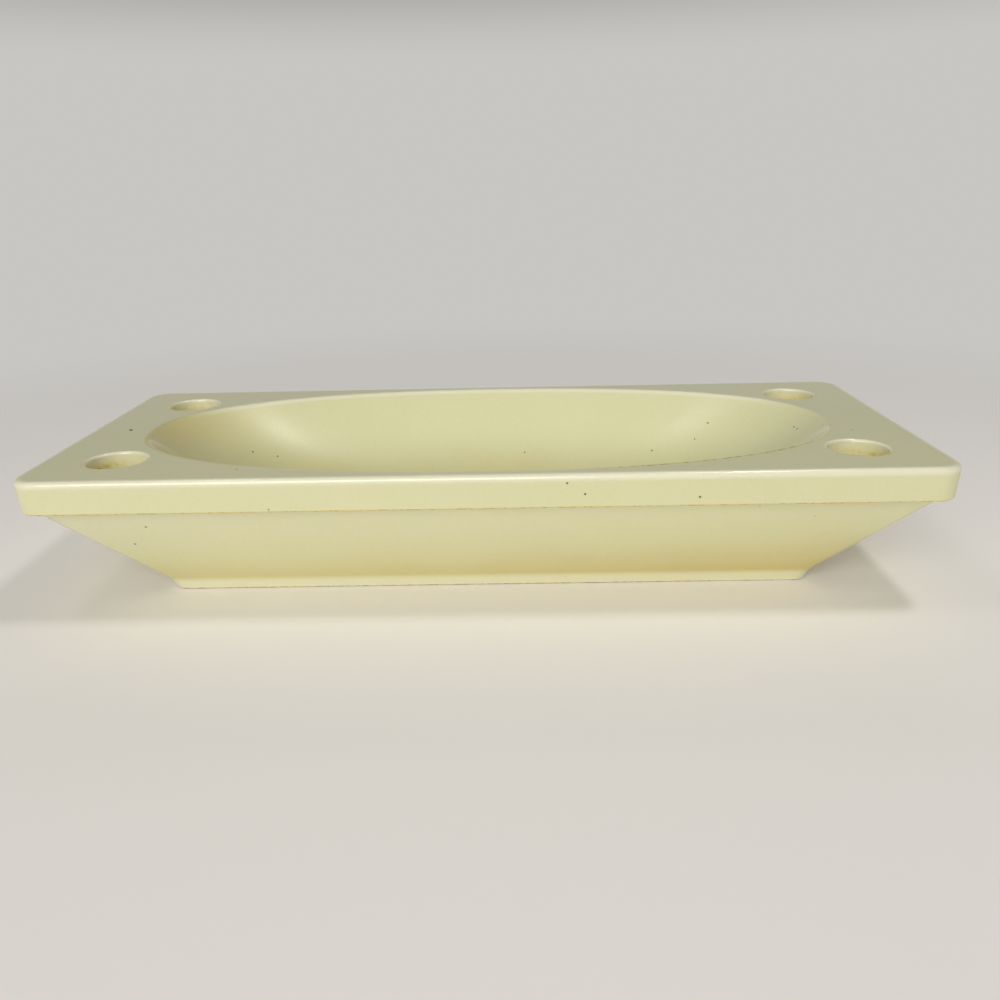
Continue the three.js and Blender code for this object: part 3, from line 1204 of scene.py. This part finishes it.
@dataclass(frozen=True)
class CandleCups:
    """Four blind sockets for taper candles, hung under the corners of the tray."""

    body: BodySizes
    grid: Grid
    floor: float = 4.0
    floor_radius: float = 1.5
    heel_radius: float = 5.0

    def build(self, material: Material) -> Object:
        """Builds the four cups.

        Args:
            material: the glaze that they wear.

        Returns:
            The finished piece.
        """
        form = TurnedForm("candle_cups", material)
        radius, outer = self.body.bore / 2, self.body.cup_radius
        floor, steps = self.body.cup_bottom + self.floor, self.grid.fillet
        corner = (radius - self.floor_radius, floor + self.floor_radius)
        inside = [(0.0, floor), *arc(corner, self.floor_radius, -90, 0, steps)]
        for place in [*inside, (radius, self.body.cup_top)]:
            form.add(*place, Coat.FACE, self.body.bore_darkness)
        heel = (outer - self.heel_radius, self.body.cup_bottom + self.heel_radius)
        outside = [(outer, self.body.cup_top), *arc(heel, self.heel_radius, 0, -90, steps)]
        for place in [*outside, (0.0, self.body.cup_bottom)]:
            form.add(*place, Coat.BARE)
        return form.piece({
            "Steps Around": self.grid.socket, "Copies": 2,
            "Spacing Along": 2 * self.body.cup_x * MM, "Spacing Across": 2 * self.body.cup_y * MM,
        })


@dataclass(frozen=True)
class SideWall:
    """The four tapered sides in one ring, from under the band down to the foot."""

    body: BodySizes
    skirt: Skirt
    grid: Grid

    def build(self, material: Material) -> Object:
        """Builds the side wall.

        Args:
            material: the glaze that it wears.

        Returns:
            The finished piece.
        """
        clay, skirt, curve, top = ClayMesh(), self.skirt, shares(self.grid.fillet), self.body.band_bottom
        high = top - 2 * skirt.flare - skirt.guard
        low = self.body.foot_height + skirt.fill_rise + skirt.guard
        thinned, gained = skirt.high_coat - Coat.FACE, skirt.low_coat - skirt.high_coat
        outline = [(skirt.under_band(share), Coat.FACE + thinned * ease(share, 0, 1)) for share in curve]
        for share in shares(self.grid.run):
            coat = skirt.high_coat + gained * share ** skirt.run_power
            outline.append((skirt.wall(high + (low - high) * share), coat))
        outline += [(skirt.fill(share / 2), skirt.fill_coat(share / 2)) for share in curve]
        outline += [(skirt.inside(height), Coat.BARE) for height in (outline[-1][0].z, top)]
        # Painted shade: the coat deepens from the middle towards the planter's right end.
        rings = [
            clay.ring(rounded_rectangle(level, self.grid), skirt.shaded_right(coat)) for level, coat in outline
        ]
        clay.loft([*rings, rings[0]])
        return clay.piece("wall", material)


@dataclass(frozen=True)
class FootBase:
    """The plinth and floor in one, with its dry resting ring, its recess and the firing vent."""

    body: BodySizes
    skirt: Skirt
    grid: Grid
    rim: float = 7.0
    recess: float = 1.5
    recess_edge: float = 0.6
    recess_corner: float = 3.0
    vent_bore: float = 8.0
    vent_edge: float = 0.5
    dry_edge: float = 1.1
    # Strength of the painted contact shade along the foot's lower edge.
    darkness: float = 1.2
    gap: float = 0.3

    def under(self, inset: float, height: float) -> Vector:
        """Gives a level of the resting ring, whose corners stay round however far in it lies."""
        level = self.skirt.foot_bottom - margin(inset)
        return Vector((level.x, level.y, height, max(level.w, self.recess_corner)))

    def build(self, material: Material) -> Object:
        """Builds the foot.

        Args:
            material: the glaze that it wears.

        Returns:
            The finished piece.
        """
        clay, skirt, steps = ClayMesh(), self.skirt, self.grid.fillet
        halves = [(1 + share) / 2 for share in shares(steps)]
        outline = [(skirt.fill(share), skirt.fill_coat(share)) for share in halves]
        above_edge = skirt.foot_bottom.lerp(skirt.foot_top, skirt.guard / skirt.foot_top.z)
        outline.append((above_edge, skirt.foot_coat))
        outer_edge = arc((skirt.foot_edge, skirt.foot_edge), skirt.foot_edge, 180, 270, steps)
        inner_edge = arc((self.rim - self.recess_edge, self.recess_edge), self.recess_edge, -90, 0, steps)
        outline += [(self.under(inset, height), Coat.EDGE) for inset, height in outer_edge]
        outline += [(self.under(inset, 0), Coat.BARE) for inset in (self.dry_edge, inner_edge[0][0])]
        for i, (inset, height) in enumerate(inner_edge[1:]):
            outline.append((self.under(inset, height), worn((1 - i / steps) / 2)))
        outline.append((self.under(self.rim, self.recess), Coat.POOL))
        # The outer edge follows the fill's levels and one more, and its lower two thirds get painted shade: a
        # dark contact line along the foot's lower edge. Like the wall, the foot deepens in tone towards the
        # right end as painted shade.
        contact_shaded = range(steps + 2 + steps // 3, 2 * steps + 3)
        rings = []
        for i, (level, coat) in enumerate(outline):
            darkness = self.darkness if i in contact_shaded else 0.0
            rings.append(clay.ring(rounded_rectangle(level, self.grid), skirt.shaded_right(coat), darkness))
        clay.loft(rings)

        radius, ceiling, floor = self.vent_bore / 2, self.recess, self.body.floor_top
        vent = [
            clay.ring(circle(0, 0, out, z, self.grid.socket), worn(i / steps / 2))
            for i, (out, z) in enumerate(
                arc((radius + self.vent_edge, ceiling + self.vent_edge), self.vent_edge, 270, 180, steps)
            )
        ]
        vent.append(clay.ring(circle(0, 0, radius, floor, self.grid.socket), Coat.BARE))
        clay.loft(vent)
        clay.plate(rings[-1], [vent[0]], self.grid.plate, Coat.FACE)

        inside = skirt.inside(self.body.foot_height, self.gap)
        upper = [
            clay.ring(rounded_rectangle(Vector((inside.x, inside.y, height, inside.w)), self.grid), Coat.BARE)
            for height in (floor, outline[0][0].z)
        ]
        clay.plate(upper[0], [vent[-1]], self.grid.plate, Coat.BARE)
        clay.loft([*upper, rings[0]])
        return clay.piece("foot", material)


# Finishes

def linear(shade: str) -> tuple[float, float, float, float]:
    """Turns an sRGB hex colour into Blender's linear colour.

    Args:
        shade: the colour, as #rrggbb.

    Returns:
        Red, green, blue and an alpha of 1.
    """
    parts = [int(shade[i:i + 2], 16) / 255 for i in (1, 3, 5)]
    red, green, blue = (
        part / 12.92 if part <= 0.04045 else ((part + 0.055) / 1.055) ** 2.4 for part in parts
    )
    return red, green, blue, 1.0


def per(millimetres: float) -> float:
    """Gives a texture's scale for a feature of a real size."""
    return 1 / (millimetres * MM)


@dataclass(frozen=True)
class DippedGlaze:
    """Opaque pale yellow glaze, dipped and fired over slip-cast white earthenware.

    A glossy coat over a soft, even body colour: paler where it draws thin on an edge, a pale tone
    that also stands in for the edge's highlight, deeper where it gathers in a hollow, with a slow
    drift of tone, pinholes and a few iron specks. The coat also carries painted shade towards the
    basin's left end and the wall's right end, and a golden, then olive darkening paints shade under
    the band and along the foot's lower edge and darkens the basin's near lip and the bores.
    Where there is no glaze, the same material is the dry, cream-coloured fired clay. Each of the
    larger marks is a place and a radius, in millimetres.
    """

    face: str = "#dfddad"
    # Pale tone of thin glaze, which also stands in for the highlight on edges and lips.
    thin_and_highlight: str = "#ece9ca"
    pool: str = "#d5c47c"
    # Golden, then olive tones of the darkening, which paints shade under the band and along the foot's lower
    # edge.
    darkening: str = "#e3ca50"
    darkness: str = "#7d7440"
    iron: str = "#4c3b1d"
    clay: str = "#e6d8bd"
    gloss: float = 0.36
    dry: float = 0.85
    sheen: float = 0.8
    sheen_gloss: float = 0.16
    drift: float = 75.0
    mottle: float = 14.0
    grain: float = 0.9
    peel: float = 1.4
    peel_height: float = 0.0035
    wave: float = 24.0
    wave_height: float = 0.09
    speck_cell: float = 15.0
    speck_radius: float = 0.5
    pinhole_cell: float = 5.0
    pinhole_radius: float = 0.28
    pinhole_depth: float = 0.05
    pinhole_tint: float = 0.25
    cloud: float = 0.12
    thin_and_highlight_at: float = 0.1
    face_at: float = 0.62
    pool_at: float = 0.95833
    clay_from: float = -0.15
    clay_to: float = -0.35
    dust: float = 0.01
    dust_grain: tuple[float, float] = (0.3, 0.7)
    darkening_grain: tuple[float, float] = (0.42, 0.62)
    darkening_share: tuple[float, float] = (0.3, 0.9)
    darkening_step: float = 0.45
    darkening_cover: float = 0.7
    ior: float = 1.52
    mark_edge: float = 0.4
    marks: tuple[Vector, ...] = (
        Vector((-154.1, -1.3, 57.0, 0.9)), Vector((-154.4, -0.6, 57.0, 0.9)),
        Vector((-154.7, 0.1, 57.0, 0.9)), Vector((29.9, -72.0, 53.7, 0.6)),
        Vector((77.2, -71.8, 47.6, 0.6)), Vector((36.3, -71.9, 49.4, 0.6)),
        Vector((-126.8, -62.9, 36.0, 0.6)), Vector((-134.8, -56.9, 26.7, 0.6)),
        Vector((-110.0, 23.2, 39.3, 0.6)), Vector((-99.8, 27.2, 35.7, 0.6)),
        Vector((134.2, 8.2, 50.8, 0.6)), Vector((134.6, 4.9, 50.8, 0.6)),
        Vector((103.1, 38.0, 45.3, 0.6)), Vector((77.0, 36.9, 32.5, 0.6)),
    )

    def noise(self, tree: NodeTree, place: NodeSocket, size: float, detail: float) -> NodeSocket:
        """Adds noise whose blotches have a real size.

        Args:
            tree: the material's tree.
            place: the coordinates.
            size: width of a blotch in millimetres.
            detail: how many finer layers it has.

        Returns:
            The socket of the noise, about 0.5 on average.
        """
        # A cell of Blender's noise holds about one light and one dark blotch.
        return add_node(tree, "ShaderNodeTexNoise", inputs={
            "Vector": place, "Scale": per(2 * size), "Detail": detail,
        }).outputs["Fac"]

    def dots(self, tree: NodeTree, place: NodeSocket, cell: float, radius: float) -> NodeSocket:
        """Adds soft-edged round dots strewn through the clay.

        Args:
            tree: the material's tree.
            place: the coordinates.
            cell: about how far apart the dots lie, in millimetres.
            radius: their largest radius, in millimetres.

        Returns:
            The socket of the dots, 1 in a dot's middle and 0 between them.
        """
        cells = add_node(tree, "ShaderNodeTexVoronoi", inputs={"Vector": place, "Scale": per(cell)})
        reach = radius / cell
        dot = add_node(tree, "ShaderNodeMapRange", {"interpolation_type": "SMOOTHSTEP"}, {
            "Value": cells.outputs["Distance"], "From Min": reach, "From Max": reach / 3,
            "To Min": 0.0, "To Max": 1.0,
        })
        return dot.outputs["Result"]

    def kiln_marks(self, tree: NodeTree, place: NodeSocket) -> NodeSocket:
        """Adds the few larger iron marks at their places.

        Args:
            tree: the material's tree.
            place: the coordinates.

        Returns:
            The socket of the marks, 1 in a mark's middle and 0 between them.
        """
        nearest: Any = 1.0
        for mark in self.marks:
            away = add_node(tree, "ShaderNodeVectorMath", {"operation": "DISTANCE"}, {
                0: place, 1: mark.xyz * MM,
            })
            outside = add_node(tree, "ShaderNodeMath", {"operation": "SUBTRACT"}, {
                0: away.outputs["Value"], 1: mark.w * MM,
            })
            nearest = add_node(tree, "ShaderNodeMath", {"operation": "MINIMUM"}, {0: outside, 1: nearest})
        dot = add_node(tree, "ShaderNodeMapRange", {"interpolation_type": "SMOOTHSTEP"}, {
            "Value": nearest, "From Min": 0.0, "From Max": -self.mark_edge * MM, "To Min": 0.0, "To Max": 1.0,
        })
        return dot.outputs["Result"]

    def build(self) -> Material:
        """Builds the material.

        Returns:
            The glaze, which reads its thickness and its darkening from the meshes' attributes.
        """
        material = bpy.data.materials.new("dipped_glaze")
        tree = empty_tree(material)
        place = add_node(tree, "ShaderNodeTexCoord").outputs["Object"]
        coat, darkened = (
            add_node(tree, "ShaderNodeAttribute", {"attribute_name": name}).outputs["Fac"]
            for name in ("coat", "darkening")
        )
        drift, mottle, grain, peel, wave = (
            self.noise(tree, place, size, detail) for size, detail in (
                (self.drift, 1.0), (self.mottle, 3.0), (self.grain, 2.0), (self.peel, 0.0), (self.wave, 0.0),
            )
        )
        specks = add_node(tree, "ShaderNodeMath", {"operation": "MAXIMUM"}, {
            0: self.dots(tree, place, self.speck_cell, self.speck_radius), 1: self.kiln_marks(tree, place),
        })
        pinholes = self.dots(tree, place, self.pinhole_cell, self.pinhole_radius)
        tint = add_node(tree, "ShaderNodeMath", {"operation": "MULTIPLY"}, {
            0: pinholes, 1: self.pinhole_tint,
        })

        # The coat and two slow clouds of it pick the tone: thin and pale, its face, or pooled. The thin,
        # pale tone on edges and lips also stands in for their highlight, and the coat's rise towards the
        # basin's left end and the wall's right end is painted shade.
        thickness: Any = -self.cloud / 2
        for pattern, depth in ((drift, self.cloud), (mottle, self.cloud), (coat, 1.0)):
            thickness = add_node(tree, "ShaderNodeMath", {"operation": "MULTIPLY_ADD"}, {
                0: pattern, 1: depth, 2: thickness,
            })
        tones = add_node(tree, "ShaderNodeValToRGB", inputs={0: thickness})
        ramp = tones.color_ramp.elements
        ramp[0].position, ramp[0].color = self.thin_and_highlight_at, linear(self.thin_and_highlight)
        ramp[1].position, ramp[1].color = self.pool_at, linear(self.pool)
        ramp.new(self.face_at).color = linear(self.face)

        dust, speckle = (
            add_node(tree, "ShaderNodeMapRange", inputs={
                "Value": grain, "From Min": low, "From Max": high, "To Min": least, "To Max": most,
            })
            for (low, high), (least, most) in (
                (self.dust_grain, (1 - self.dust, 1 + self.dust)), (self.darkening_grain, self.darkening_share),
            )
        )
        # Where the meshes darken the glaze it turns golden and then olive: painted shade under the band and
        # along the foot's lower edge, and a darker lip and darker bores.
        brown = add_node(tree, "ShaderNodeMath", {"operation": "MULTIPLY", "use_clamp": True}, {
            0: darkened, 1: speckle,
        })
        light, heavy = (
            add_node(tree, "ShaderNodeMapRange", inputs={
                "Value": brown, "From Min": start, "From Max": start + self.darkening_step,
                "To Min": 0.0, "To Max": self.darkening_cover,
            })
            for start in (0.0, self.darkening_step)
        )
        bare = add_node(tree, "ShaderNodeMapRange", inputs={
            "Value": coat, "From Min": self.clay_from, "From Max": self.clay_to, "To Min": 0.0, "To Max": 1.0,
        })
        colour = add_node(tree, "ShaderNodeVectorMath", {"operation": "SCALE"}, {
            0: tones, "Scale": dust,
        }).outputs[0]
        for shade, amount in (
            (self.darkening, light), (self.darkness, heavy), (self.iron, specks), (self.iron, tint),
            (self.clay, bare),
        ):
            colour = add_node(tree, "ShaderNodeMix", {"data_type": "RGBA"}, {
                "Factor": amount, 6: colour, 7: linear(shade),
            }).outputs[2]

        relief: Node | None = None
        for height, depth, invert in (
            (wave, self.wave_height, False), (peel, self.peel_height, False),
            (pinholes, self.pinhole_depth, True),
        ):
            inputs = {"Height": height, "Distance": depth * MM}
            if relief:
                inputs["Normal"] = relief
            relief = add_node(tree, "ShaderNodeBump", {"invert": invert}, inputs)

        rough = add_node(tree, "ShaderNodeMapRange", inputs={
            "Value": bare, "To Min": self.gloss, "To Max": self.dry,
        })
        glassy = add_node(tree, "ShaderNodeMath", {"operation": "MULTIPLY_ADD"}, {
            0: bare, 1: -self.sheen, 2: self.sheen,
        })
        shader = add_node(tree, "ShaderNodeBsdfPrincipled", inputs={
            "Base Color": colour, "Roughness": rough, "IOR": self.ior, "Normal": relief,
            "Coat Weight": glassy, "Coat Roughness": self.sheen_gloss, "Coat Normal": relief,
        })
        add_node(tree, "ShaderNodeOutputMaterial", inputs={"Surface": shader})
        return material


# Studio

@dataclass(frozen=True)
class SoftBox:
    """A rectangular lamp aimed at the planter, with its direction in degrees and its sizes in metres.

    A lamp that isn't mirrored gives its light without a highlight in the gloss.
    """

    name: str
    azimuth: float
    elevation: float
    distance: float
    width: float
    height: float
    level: float
    shade: str = "#ffffff"
    mirrored: bool = True

    def hang(self, target: Vector) -> Object:
        """Hangs the lamp so that a surface facing it gets its level, where 1 shows a colour as written.

        Args:
            target: the point that it is aimed at, in metres.

        Returns:
            The lamp.
        """
        turn, rise = math.radians(self.azimuth), math.radians(self.elevation)
        away = Vector((math.sin(turn) * math.cos(rise), -math.cos(turn) * math.cos(rise), math.sin(rise)))
        light = bpy.data.lights.new(self.name, "AREA")
        light.shape = "RECTANGLE"
        light.size, light.size_y = self.width, self.height
        light.energy = self.level * (math.pi * self.distance) ** 2
        light.color = linear(self.shade)[:3]
        lamp = shown(self.name, light)
        aim = away.to_track_quat("Z", "Y").to_matrix().to_4x4()
        lamp.matrix_world = Matrix.Translation(target + away * self.distance) @ aim
        lamp.visible_camera = False
        lamp.visible_glossy = self.mirrored
        return lamp


@dataclass(frozen=True)
class Studio:
    """Pale floor, soft light and the camera at the photograph's place."""

    camera_place: Vector = Vector((11.51, -368.55, 154.16))
    camera_turn: float = -0.01865
    camera_dip: float = 0.34456
    camera_roll: float = 0.02240
    focal_pixels: float = 882.5
    frame_pixels: float = 1000.0
    sensor_width: float = 36.0
    nearest: float = 0.01
    farthest: float = 50.0
    floor_size: float = 6.0
    floor_drop: float = 0.1
    floor_shade: str = "#eae6e0"
    floor_glow: float = 0.1
    horizon_shade: str = "#c8c6c3"
    room_dim: float = 0.2
    backdrop_rise: float = 6.5
    room_rise: float = 16.0
    ambient_shade: str = "#f8f8ff"
    ambient: float = 0.1
    fade_start: float = 0.22
    fade_end: float = 0.7
    lamps: tuple[SoftBox, ...] = (
        SoftBox("window", -15, 26, 2.2, 1.5, 1.3, 0.67, "#fffdf8"),
        SoftBox("overhead", 0, 50, 1.6, 1.8, 0.8, 0.04, mirrored=False),
        SoftBox("right_lamp", 70, 68, 0.9, 0.16, 0.1, 0.21),
        SoftBox("left_lamp", -68, 66, 0.9, 0.2, 0.16, 0.06),
        SoftBox("fill", 180, 24, 2.2, 2.4, 1.2, 0.24, mirrored=False),
    )

    def camera(self) -> Object:
        """Sets up the camera.

        Returns:
            The camera.
        """
        turn, dip = self.camera_turn, self.camera_dip
        forward = Vector((math.sin(turn) * math.cos(dip), math.cos(turn) * math.cos(dip), -math.sin(dip)))
        right = Vector((math.cos(turn), -math.sin(turn), 0))
        down = forward.cross(right)
        cos, sin = math.cos(self.camera_roll), math.sin(self.camera_roll)
        across, up = cos * right + sin * down, sin * right - cos * down
        data = bpy.data.cameras.new("camera")
        data.sensor_width = self.sensor_width
        data.lens = self.focal_pixels / self.frame_pixels * self.sensor_width
        data.clip_start, data.clip_end = self.nearest, self.farthest
        camera = shown("camera", data)
        axes = Matrix((across, up, -forward)).transposed().to_4x4()
        camera.matrix_world = Matrix.Translation(self.camera_place * MM) @ axes
        bpy.context.scene.camera = camera
        return camera

    def seen(self, tree: NodeTree) -> Any:
        """Adds a switch that is 1 for what the camera sees straight or mirrored in gloss or glass.

        Args:
            tree: the tree that takes it.

        Returns:
            The switch.
        """
        rays = add_node(tree, "ShaderNodeLightPath").outputs
        switch: Any = rays["Is Camera Ray"]
        for name in ("Is Glossy Ray", "Is Transmission Ray"):
            switch = add_node(tree, "ShaderNodeMath", {"operation": "MAXIMUM"}, {0: switch, 1: rays[name]})
        return switch

    def world(self) -> None:
        """Lights the room evenly and shows a pale backdrop, with the dim room above it."""
        world = bpy.data.worlds.new("studio")
        tree = empty_tree(world)
        light = add_node(tree, "ShaderNodeBackground", inputs={
            "Color": linear(self.ambient_shade), "Strength": self.ambient,
        })
        direction = add_node(tree, "ShaderNodeTexCoord").outputs["Generated"]
        rise = add_node(tree, "ShaderNodeSeparateXYZ", inputs={0: direction}).outputs["Z"]
        level = add_node(tree, "ShaderNodeMapRange", {"interpolation_type": "SMOOTHSTEP"}, {
            "Value": rise, "From Min": math.sin(math.radians(self.backdrop_rise)),
            "From Max": math.sin(math.radians(self.room_rise)), "To Min": 1.0, "To Max": self.room_dim,
        })
        backdrop = add_node(tree, "ShaderNodeBackground", inputs={
            "Color": linear(self.horizon_shade), "Strength": level,
        })
        both = add_node(tree, "ShaderNodeMixShader", inputs={0: self.seen(tree), 1: light, 2: backdrop})
        add_node(tree, "ShaderNodeOutputWorld", inputs={"Surface": both})
        bpy.context.scene.world = world

    def floor(self) -> Object:
        """Lays a matt floor that fades into the backdrop far from the planter.

        Returns:
            The floor.
        """
        half = self.floor_size / 2
        mesh = bpy.data.meshes.new("floor")
        corners = [(-half, -half), (half, -half), (half, half), (-half, half)]
        mesh.from_pydata([(x, y, -self.floor_drop * MM) for x, y in corners], [], [(0, 1, 2, 3)])
        material = bpy.data.materials.new("matt_floor")
        tree = empty_tree(material)
        place = add_node(tree, "ShaderNodeTexCoord").outputs["Object"]
        away = add_node(tree, "ShaderNodeVectorMath", {"operation": "LENGTH"}, {0: place})
        far = add_node(tree, "ShaderNodeMapRange", {"interpolation_type": "SMOOTHSTEP"}, {
            "Value": away.outputs["Value"], "From Min": self.fade_start, "From Max": self.fade_end,
        })
        fade = add_node(tree, "ShaderNodeMath", {"operation": "MULTIPLY"}, {0: far, 1: self.seen(tree)})
        lit = add_node(tree, "ShaderNodeBsdfDiffuse", inputs={"Color": linear(self.floor_shade)})
        glow = add_node(tree, "ShaderNodeEmission", inputs={
            "Color": linear(self.floor_shade), "Strength": self.floor_glow,
        })
        matt = add_node(tree, "ShaderNodeAddShader", inputs={0: lit, 1: glow})
        backdrop = add_node(tree, "ShaderNodeEmission", inputs={
            "Color": linear(self.horizon_shade), "Strength": 1.0,
        })
        both = add_node(tree, "ShaderNodeMixShader", inputs={0: fade, 1: matt, 2: backdrop})
        add_node(tree, "ShaderNodeOutputMaterial", inputs={"Surface": both})
        mesh.materials.append(material)
        floor = shown("floor", mesh)
        floor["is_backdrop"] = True
        return floor

    def build(self, target: Vector) -> None:
        """Sets up the floor, the world, the lamps and the camera.

        Args:
            target: the point that the lamps are aimed at, in metres.
        """
        bpy.context.scene.view_settings.view_transform = "Standard"
        self.camera()
        self.world()
        self.floor()
        for lamp in self.lamps:
            lamp.hang(target)


# Assembly

def dress(piece: Object, slot: str, *nodes: str) -> None:
    """Rides a finished piece on the body and lets it stand for its frame nodes.

    Args:
        piece: the finished piece.
        slot: not used.
        nodes: the frame nodes that it stands for.
    """
    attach(piece, BODY)
    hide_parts(*nodes)
    mesh = piece.data
    mesh.calc_loop_triangles()
    log.info("%s: %d triangles, stands for %s", piece.name, len(mesh.loop_triangles), ", ".join(nodes))


def main() -> None:
    """Builds the planter and the studio around it."""
    logging.basicConfig(level=logging.INFO, format="%(name)s: %(message)s")
    frame_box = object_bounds()
    body = BodySizes.measured()
    grid = Grid()
    bowl = Bowl(body, grid)
    skirt = Skirt(body)
    glaze = DippedGlaze().build()
    Studio().build((frame_box[0] + frame_box[1]) / 2)

    cups = sorted(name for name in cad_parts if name.startswith("candle_cup"))
    dress(RimTray(body, bowl, skirt, grid).build(glaze), "glaze", "rim_tray")
    dress(OvalBasin(body, bowl, grid).build(glaze), "basin_glaze", "oval_basin")
    dress(CandleCups(body, grid).build(glaze), "socket_glaze", *cups)
    dress(SideWall(body, skirt, grid).build(glaze), "glaze", "side_wall")
    dress(FootBase(body, skirt, grid).build(glaze), "foot_glaze", "foot_base")


if __name__ == "__main__":
    main()
